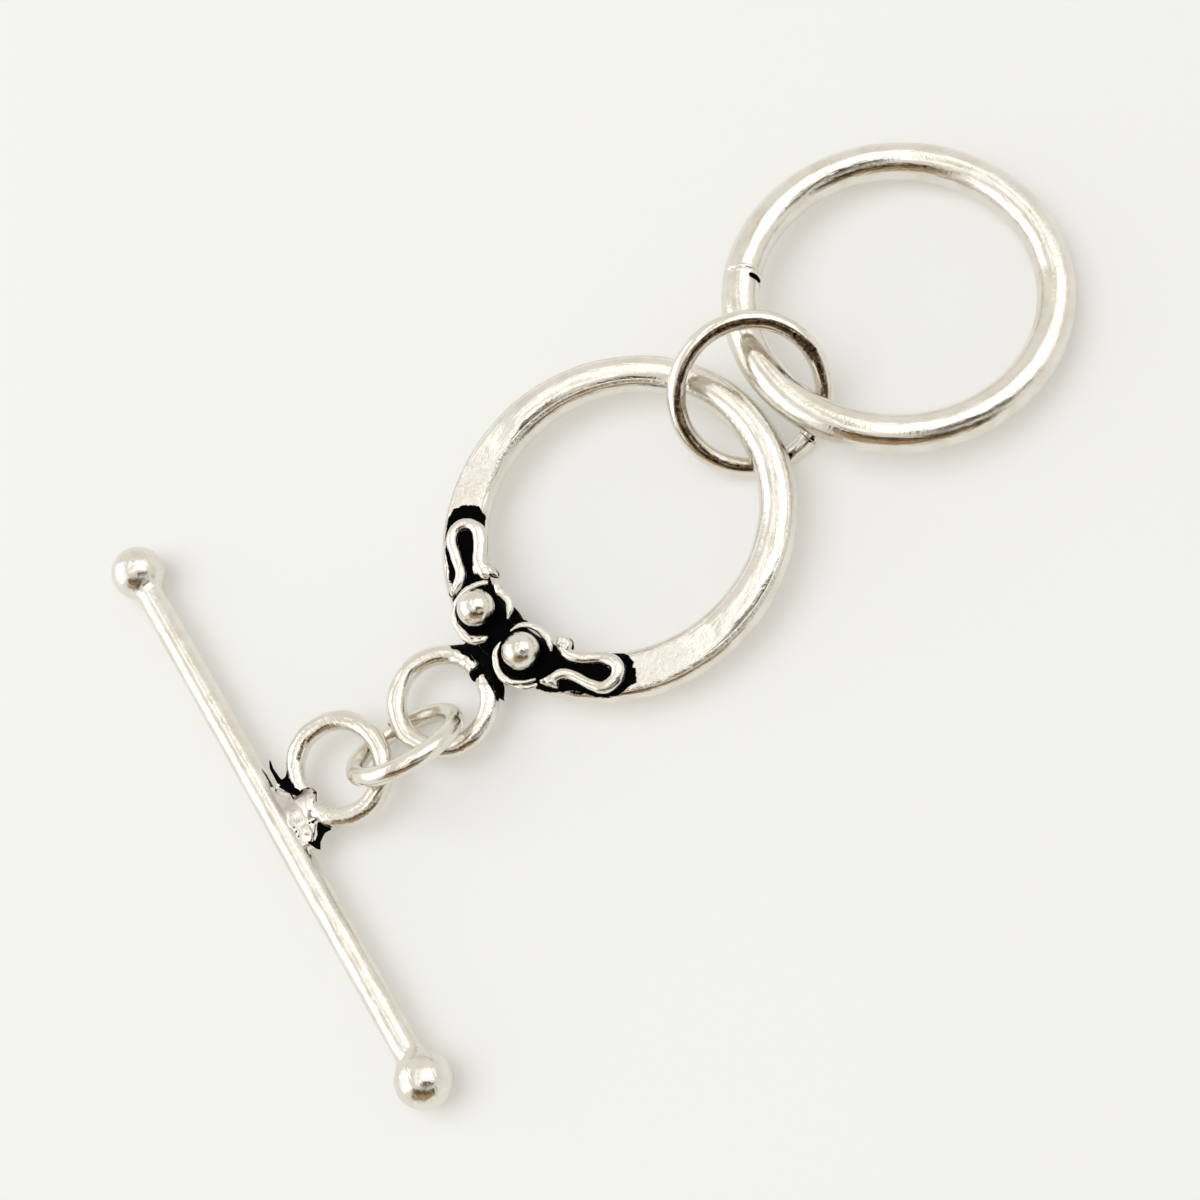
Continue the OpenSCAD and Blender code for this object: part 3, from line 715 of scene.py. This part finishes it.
# Toggle ring
print("toggle ring")
ring = {
    "wire": 1.68, "a": 7.42, "b": 7.05, "flatWidth": 2.26, "flatDrop": 0.24,
    # angle from the plain side, share of the flat's width, share of its drop
    "sections": [(0, 0, 0), (40, 0.02, 0), (62, 0.22, 0), (84, 0.52, 0.08), (98, 0.68, 0.6),
                 (118, 0.88, 0.94),
                 (140, 0.97, 1), (180, 1, 1)],
    "softEdge": 0.06, "dimples": 0.045, "narrower": 0.17,
    "eyeAt": (-11.24, 0.0), "eyeRadius": 2.12, "eyeWire": 0.9, "eyeOval": (0.99, 1.03),
    "eyeEnds": (-2.0, 345.0),
    "granuleAt": (-7.27, 1.5), "granuleRadius": 0.86, "granuleZ": 1.14,
    "granuleShift": {1: (0.02, 0.05), -1: (0.04, 0.07)},
    # keyhole loops: x, y and half thickness along the wire
    "loopZ": 0.67,
    "upperLoop": [(-7.45, 3.08, 0.19), (-7.0, 3.2, 0.25), (-6.62, 3.47, 0.25), (-6.38, 3.9, 0.25),
                  (-6.13, 4.4, 0.26), (-5.80, 4.97, 0.26), (-5.24, 5.22, 0.26), (-4.78, 5.0, 0.28),
                  (-4.64, 4.48, 0.33), (-4.88, 4.0, 0.35), (-5.22, 3.64, 0.35), (-5.53, 3.36, 0.34),
                  (-5.74, 3.0, 0.35), (-5.80, 2.66, 0.34), (-5.74, 2.40, 0.24)],
    "lowerLoop": [(-5.66, -2.26, 0.24), (-5.76, -2.44, 0.27), (-5.85, -2.66, 0.28), (-5.87, -2.9, 0.275),
                  (-5.80, -3.18, 0.27), (-5.60, -3.5, 0.27), (-5.30, -3.82, 0.26), (-5.0, -4.15, 0.26),
                  (-4.80, -4.5, 0.30), (-4.73, -4.82, 0.33), (-4.83, -5.09, 0.345), (-5.04, -5.27, 0.335),
                  (-5.33, -5.35, 0.32), (-5.66, -5.3, 0.31), (-5.92, -5.12, 0.285), (-6.06, -4.84, 0.26),
                  (-6.20, -4.49, 0.25), (-6.30, -4.1, 0.245), (-6.42, -3.74, 0.245), (-6.56, -3.5, 0.245),
                  (-6.74, -3.34, 0.245), (-6.98, -3.25, 0.245), (-7.24, -3.2, 0.24), (-7.43, -3.12, 0.17)],
    "loopSlit": [(-5.84, -5.44), (-5.56, -5.54), (-5.3, -5.57), (-5.11, -5.55)],
    # thin cup wires round the granules: x, y and half thickness, from the granule's middle
    "cups": [
        (1, [(1.21, 0.72, 0.07), (1.06, 0.86, 0.11), (0.79, 1.02, 0.115), (0.49, 1.15, 0.115),
        (0.21, 1.23, 0.11),
             (-0.07, 1.22, 0.09), (-0.33, 1.17, 0.07), (-0.57, 1.07, 0.07), (-0.76, 0.93, 0.08),
             (-0.93, 0.72, 0.09), (-1.09, 0.43, 0.11), (-1.16, 0.15, 0.135), (-1.18, -0.17, 0.155),
             (-1.17, -0.51, 0.17), (-1.03, -0.81, 0.18), (-0.80, -1.01, 0.16), (-0.62, -1.10, 0.11),
             (-0.53, -1.13, 0.05)]),
        (1, [(1.50, 0.44, 0.09), (1.38, 0.24, 0.15), (1.29, -0.06, 0.175), (1.28, -0.34, 0.165),
             (1.23, -0.66, 0.155), (1.08, -0.90, 0.145), (0.87, -1.08, 0.11), (0.66, -1.20, 0.05)]),
        (-1, [(0.37, 1.27, 0.03), (0.63, 1.21, 0.07), (0.88, 1.09, 0.10), (1.13, 0.81, 0.105),
        (1.28, 0.46, 0.13),
              (1.32, 0.07, 0.15), (1.25, -0.31, 0.14), (1.10, -0.59, 0.10), (0.98, -0.78, 0.04)]),
        (-1, [(-0.29, 1.24, 0.025), (-0.52, 1.20, 0.08), (-0.80, 1.05, 0.11), (-1.04, 0.75, 0.12),
              (-1.23, 0.44, 0.125), (-1.32, 0.10, 0.14), (-1.30, -0.27, 0.145), (-1.13, -0.59, 0.105),
              (-0.86, -0.85, 0.085), (-0.56, -1.08, 0.07), (-0.37, -1.18, 0.035)]),
        (-1, [(-1.29, -0.64, 0.03), (-1.11, -0.90, 0.08), (-0.90, -1.16, 0.10), (-0.66, -1.33, 0.095),
              (-0.49, -1.39, 0.04)]),
    ],
    # dark lines pressed along the cup wires
    "slits": [[(-8.36, 0.81), (-8.21, 0.63), (-8.05, 0.47)], [(-8.51, -2.13), (-8.21, -2.48),
    (-7.86, -2.72)]],
    # black solder between the ring and its eye, drawn out to points
    "star": [(-7.9, 1.75), (-8.45, 1.22), (-8.64, 1.14), (-8.81, 1.14), (-9.0, 1.32), (-9.32, 1.62),
             (-9.28, 1.22),
             (-9.14, 1.05), (-9.16, 0.74), (-9.08, 0.54), (-9.08, 0.25), (-8.87, 0.03), (-8.98, -0.13),
             (-9.22, -0.10), (-9.55, -0.02), (-9.66, -0.42), (-9.22, -0.47), (-9.10, -0.57), (-9.24, -0.99),
             (-9.32, -1.46), (-9.34, -2.12), (-8.93, -1.64), (-8.8, -1.42), (-7.9, -1.65)],
    # how far the black runs over the flat, seen from above
    "black": [(-3.79, 5.21), (-3.98, 5.5), (-4.12, 5.66), (-4.27, 5.86), (-4.75, 6.05), (-5.22, 5.92),
              (-5.50, 5.7),
              (-5.80, 5.47), (-6.1, 5.12), (-6.28, 4.94), (-6.48, 4.70), (-6.63, 4.46), (-6.85, 4.1),
              (-7.18, 3.74), (-7.4, 3.4), (-7.62, 3.06), (-7.76, 2.84), (-7.9, 2.6), (-8.2, 2.3),
              (-8.5, 1.9),
              (-9.2, 1.2), (-9.3, 0.0), (-9.2, -1.5), (-8.45, -1.9), (-8.3, -2.5), (-7.95, -3.0),
              (-7.7, -3.4),
              (-7.33, -3.86), (-6.87, -4.27), (-6.63, -4.68), (-6.42, -5.12), (-6.13, -5.5), (-5.71, -5.86),
              (-5.38, -5.97), (-5.1, -5.98), (-4.66, -6.12), (-4.46, -5.83), (-4.29, -5.69), (-4.3, -5.48),
              (-4.14, -5.36), (-4.08, -5.12), (-4.1, -4.8), (-4.3, -4.45), (-4.46, -4.22), (-4.95, -3.72),
              (-5.17, -3.4), (-5.33, -3.0), (-5.40, -2.72), (-5.47, -2.58), (-5.66, -2.5), (-5.72, -2.06),
              (-5.81, -1.8), (-5.98, -1.75), (-5.94, -1.43),
              (-5.99, -1.0), (-6.2, -0.6), (-6.1, -0.48), (-5.9, -0.42), (-6.0, -0.1), (-5.9, 0.5),
              (-6.2, 0.6),
              (-6.09, 0.85), (-6.03, 1.2), (-5.98, 1.65), (-5.8, 1.95), (-5.6, 2.2), (-5.45, 2.6),
              (-5.15, 3.0),
              (-4.95, 3.5), (-4.4, 3.93), (-3.9, 4.5), (-3.91, 4.88)],
    "spur": [(-6.9, 0.5), (-6.44, 0.36), (-6.0, 0.53), (-6.06, 0.2), (-6.14, -0.1), (-6.13, -0.25),
             (-6.02, -0.47),
             (-6.25, -0.35), (-6.9, -0.3)],
    "rimSlit": [(-7.04, -4.23), (-6.90, -4.42), (-6.74, -4.62)],
    "blob": [(-5.66, 3.38), (-5.40, 2.98), (-5.34, 2.62), (-5.38, 2.32), (-5.55, 2.03), (-5.73, 2.32),
             (-5.86, 2.5), (-6.06, 2.7),
             (-6.22, 3.0), (-6.0, 3.3)],
    "toeBlob": [(-7.25, 3.62), (-7.08, 3.2), (-7.12, 3.05), (-7.35, 3.0), (-7.62, 2.96), (-7.66, 3.15)],
    "foot": [(-5.68, -2.00), (-5.45, -2.16), (-5.30, -2.42), (-5.33, -2.66), (-5.50, -2.86), (-5.76, -2.98),
             (-5.98, -2.84), (-5.98, -2.5), (-5.84, -2.18)],
    # how high the solder lumps stand over the flat
    "lumps": (("blob", 0.30), ("toeBlob", 0.24), ("foot", 0.34), ("lowerToe", 0.36)),
    # the star thins towards its points: share, width of the thin edge, height that it thins to
    "starThin": (0.6, 0.3, 0.05), "starZ": (-0.36, 0.46),
    "lowerToe": [(-7.56, -2.86), (-7.34, -2.90), (-7.06, -3.02), (-7.02, -3.32), (-7.09, -3.55),
                 (-7.24, -3.70),
                 (-7.40, -3.5), (-7.52, -3.27), (-7.64, -3.0)],
}


def tabled(rows, u, column):
    for low, high in zip(rows, rows[1:]):
        if u <= high[0]:
            t = (u - low[0]) / (high[0] - low[0])
            t = t * t * (3 - 2 * t)
            return low[column] + (high[column] - low[column]) * t
    return rows[-1][column]


def softMin(a, b, k):
    h = max(0.0, min(1.0, 0.5 + 0.5 * (b - a) / k))
    return b + (a - b) * h - k * h * (1 - h)


def ringBody():
    r = ring["wire"] / 2
    piece = roundRing("toggleRing", ring["a"], ring["wire"], 480, 64)
    rowAngle = rad(45)
    for v in piece.data.vertices:
        u = math.atan2(v.co.y, v.co.x)
        rho = math.hypot(v.co.x, v.co.y)
        turnV = math.atan2(v.co.z, rho - ring["a"])
        fromPlain = abs(math.degrees(u))
        share = tabled(ring["sections"], fromPlain, 2)
        top = r - ring["flatDrop"] * share
        # rows of the mesh are led along the edge of the flat
        edge = max(rad(44), min(rad(72), math.asin(min(1.0, top / r))))
        lead = min(1.0, share / 0.06)
        edge = rowAngle + (edge - rowAngle) * lead
        up = abs(turnV) if abs(turnV) <= math.pi / 2 else math.pi - abs(turnV)
        if turnV > 0:
            up = up * edge / rowAngle if up < rowAngle else edge + (up - rowAngle) * (math.pi / 2 - edge) / (
                math.pi / 2 - rowAngle)
        sideSign = 1 if abs(turnV) <= math.pi / 2 else -1
        half = r + tabled(ring["sections"], fromPlain, 1) * (ring["flatWidth"] / 2 - r)
        across = half * math.cos(up) * sideSign
        if u > 0 and across > 0:           # the upper side is hammered less wide outwards
            across *= 1 - ring["narrower"] * bell(fromPlain, 112, 34)
        z = r * math.sin(up) * (1 if turnV > 0 else -1)
        z = softMin(z, top, ring["softEdge"])
        if share > 0 and z > top - 0.12:   # hammer marks
            spot = Vector((ring["a"] * math.cos(u), ring["b"] * math.sin(u), across))
            z += share * ring["dimples"] * (noise.noise(spot * 1.7) - 0.35)
        nx, ny = ring["b"] * math.cos(u), ring["a"] * math.sin(u)
        size = math.hypot(nx, ny)
        v.co = (ring["a"] * math.cos(u) + across * nx / size, ring["b"] * math.sin(u) + across * ny / size, z)
    wobble(piece, 0.012, 0.8, 2.0)
    return piece


def recess(p):
    # the black runs over the flat between and round the ornaments
    u = abs(math.degrees(math.atan2(p.y / ring["b"], p.x / ring["a"])))
    low = 0.30 if u < 160 else 0.30 - 1.1 * min(1.0, (u - 160) / 10)
    flatZ = ring["wire"] / 2 - ring["flatDrop"]
    over = polygonDistance(p.x, p.y, ring["black"])
    over = max(over, 0.045 - polylineDistance(p.x, p.y, ring["rimSlit"]))
    return max(-1.0, min(over, (p.z - low) * 0.8, (flatZ + 0.10 - p.z) * 1.2, 1.0))


def toggleRingPiece():
    piece = ringBody()
    flatZ = ring["wire"] / 2 - ring["flatDrop"]
    eyeWire = openWire("ringEye", ring["eyeRadius"], ring["eyeWire"], *ring["eyeEnds"])
    fitEye(eyeWire, ring["eyeRadius"], ring["eyeAt"], ring["eyeOval"], ring["eyeEnds"], 21,
           [(0.15, 0.05, 12), (0.15, 0.0, 12)], bulge=0.045)
    paintDark(piece, recess)
    paintDark(eyeWire, lambda p: max(-1.0, polygonDistance(p.x, p.y, ring["star"])))
    star = solderPad("star", ring["star"], *ring["starZ"], grain=0.04, rough=0.07, seed=2.0, melt=3,
                     lumps=2.2)
    paintDark(star, lambda p: 0.5)
    thinner, thinWidth, thinZ = ring["starThin"]
    for v in star.data.vertices:
        near = max(0.0, 1 - polygonDistance(v.co.x, v.co.y, ring["star"]) / thinWidth)
        v.co.z = thinZ + (v.co.z - thinZ) * (1 - thinner * near)
    spur = solderPad("spur", ring["spur"], -0.1, flatZ + 0.03, grain=0.03, rough=0.01, seed=5.0, melt=3)
    paintDark(spur, lambda p: 0.5)
    parts = [eyeWire, star, spur]
    for v in spur.data.vertices:           # its far end dives under the flat
        v.co.z -= 0.3 * max(0.0, min(1.0, (-6.45 - v.co.x) / 0.3))
    for name, high in ring["lumps"]:
        blob = solderPad(name, ring[name], flatZ - 0.2, flatZ + high, grain=0.035, rough=0.06, seed=6.0,
                         lumps=4.5)
        for v in blob.data.vertices:       # rounded off towards its edge
            if v.co.z > flatZ:
                v.co.z -= 0.13 * max(0.0, 1 - polygonDistance(v.co.x, v.co.y, ring[name]) / 0.16)
        paintDark(blob, lambda p: (flatZ + 0.06 - p.z) * 1.2)
        parts.append(blob)
    for side in (1, -1):
        startFresh()
        bpy.ops.mesh.primitive_uv_sphere_add(
            segments=56, ring_count=28, radius=ring["granuleRadius"],
            location=(ring["granuleAt"][0] + ring["granuleShift"][side][0],
                      side * ring["granuleAt"][1] + ring["granuleShift"][side][1], ring["granuleZ"]))
        granule = bpy.context.active_object
        bpy.ops.object.transform_apply(location=True, rotation=True, scale=True)
        paintDark(granule, lambda p: flatZ + 0.22 - p.z)
        parts.append(granule)
    for name in ("upperLoop", "lowerLoop"):
        loop = bentWire(name, [(x, y, ring["loopZ"], half) for x, y, half in ring[name]], sink=0.9)
        wobble(loop, 0.02, 1.6, 7.0)
        paintDark(loop, lambda p: max((flatZ + 0.07 - p.z) * 1.2,
                                      0.03 - polylineDistance(p.x, p.y, ring["loopSlit"])))
        parts.append(loop)
    for side, path in ring["cups"]:
        gx, gy = ring["granuleAt"][0], side * ring["granuleAt"][1]
        cup = bentWire("cup", [(gx + x, gy + y, flatZ + 0.08, half * 1.35) for x, y, half in path], sink=0.85)
        wobble(cup, 0.035, 3.2, 3.0)
        paintDark(cup, lambda p: max((flatZ + 0.05 - p.z) * 1.2, 0.03 - min(
            polylineDistance(p.x, p.y, slit) for slit in ring["slits"])))
        parts.append(cup)
    solderInto(piece, parts)
    look = dict(baseLook, ragged=0.16, hammered=4.2, flatZ=flatZ)
    finishPiece(piece, seats["toggle"], "toggle_ring",
                silver("ringSilver", seats["toggle"], "ring", look, ring["a"]))


toggleRingPiece()


# Jump ring
print("jump ring")
jumpRing = {
    "radius": 3.35, "wire": 0.87, "seam": -62.6, "seamGap": 0.05,
    # where pliers have pressed the wire flat: angle, half length in degrees, depth
    "pinches": [(17.0, 15.0, 0.14, 35.0), (-71.5, 10.5, 0.15, 60.0)],
    "bites": [(1.62, -3.06, 0.13), (0.47, -3.25, 0.10), (0.72, -3.23, 0.05), (1.24, -3.20, 0.05),
              (2.86, 1.66, 0.09)],
}


def jumpPiece():
    radius, r = jumpRing["radius"], jumpRing["wire"] / 2
    ends = seamEnds(jumpRing["seam"], jumpRing["seamGap"], radius)
    piece = openWire("jumpRing", radius, jumpRing["wire"], *ends, around=300, across=40)
    for v in piece.data.vertices:
        a = math.degrees(math.atan2(v.co.y, v.co.x))
        rho = math.hypot(v.co.x, v.co.y)
        out, up = rho - radius, v.co.z
        for at, half, depth, lean in jumpRing["pinches"]:
            press = max(0.0, 1 - ((a - at) / half) ** 4) * depth
            facing = math.sin(rad(lean)) * up - math.cos(rad(lean)) * out * (1 if at > 0 else -1)
            spare = facing - (r - press)
            if press > 0 and spare > 0:
                out += math.cos(rad(lean)) * spare * (1 if at > 0 else -1)
                up -= math.sin(rad(lean)) * spare
        v.co = ((radius + out) * math.cos(rad(a)), (radius + out) * math.sin(rad(a)), up)
    wobble(piece, 0.014, 0.9, 8.0)

    def pressed(p):
        # how far inside the place where the pliers bit
        a = math.degrees(math.atan2(p.y, p.x))
        rho = math.hypot(p.x, p.y) - radius
        outer = 0.04 + 0.17 * bell(a, 13, 9)
        return min(0.25, 0.29 - 0.02 * abs(a - 17), outer - rho, rho + 0.30) if p.z > 0 else -1.0

    def rule(p):
        # black in the cut, and mottled where the pliers pressed
        cut = 0.028 - radius * abs(rad(jumpRing["seam"]) - math.atan2(p.y, p.x))
        return max(-1.0, min(-0.004, pressed(p)), cut, spots(p, jumpRing["bites"]) if p.z > 0 else -1.0)

    paintDark(piece, rule)
    paintSolder(piece, lambda p: pressed(p) * 14)
    # the brown band inside is partly tarnish, partly painted dark reflection
    look = dict(baseLook, ragged=0.12, tarnishAndReflection=0.95, band=(0.10, -0.22), smooth=0.05, dull=0.12,
                solder=(0.16, 0.095, 0.05))
    finishPiece(piece, seats["jump"], "jump_ring",
                silver("jumpSilver", seats["jump"], "ring", look, radius))


jumpPiece()


# Large ring
print("large ring")
endRing = {
    "radius": 7.1, "wire": 1.75,
    # soldered seam: angle where it crosses the outside, how it slants inwards, groove and lips
    "seam": 134.3, "slant": -1.1, "groove": 0.035, "grooveWidth": 0.03, "lip": 0.016,
    "gap": [(-4.79, 4.52), (-4.62, 4.35), (-4.50, 4.14), (-4.44, 3.85)], "gapWidth": 0.14,
    "gapDepth": 0.08,
}


def endPiece():
    radius = endRing["radius"]
    piece = roundRing("endRing", radius, endRing["wire"], 520, 64)
    for v in piece.data.vertices:          # the mesh is drawn together near the seam
        away = math.remainder(math.atan2(v.co.y, v.co.x) - rad(endRing["seam"] + 2), 2 * math.pi) / math.pi
        a = rad(endRing["seam"] + 2) + math.pi * (0.25 * away + 0.75 * away ** 3)
        rho = math.hypot(v.co.x, v.co.y)
        v.co.x, v.co.y = rho * math.cos(a), rho * math.sin(a)
    wobble(piece, 0.016, 0.6, 11.0)
    pushes = []
    for v in piece.data.vertices:
        a = math.degrees(math.atan2(v.co.y, v.co.x))
        rho = math.hypot(v.co.x, v.co.y)
        line = rad(a - endRing["seam"] - endRing["slant"] * (7.21 - rho)) * radius
        push = endRing["lip"] * bell(abs(line), 0.10, 0.05) \
            - endRing["groove"] * bell(line, 0, endRing["grooveWidth"])
        if v.co.z > 0:
            push -= endRing["gapDepth"] * bell(polylineDistance(v.co.x, v.co.y, endRing["gap"]), 0, 0.06)
        pushes.append(v.normal * push)
    for v, push in zip(piece.data.vertices, pushes):
        v.co += push
    paintDark(piece, lambda p: -1.0 if p.z < 0 else max(
        -1.0, endRing["gapWidth"] - polylineDistance(p.x, p.y, endRing["gap"])))
    look = dict(baseLook, ragged=0.06)
    finishPiece(piece, seats["end"], "end_ring",
                silver("endSilver", seats["end"], "ring", look, radius))


endPiece()

startFresh()
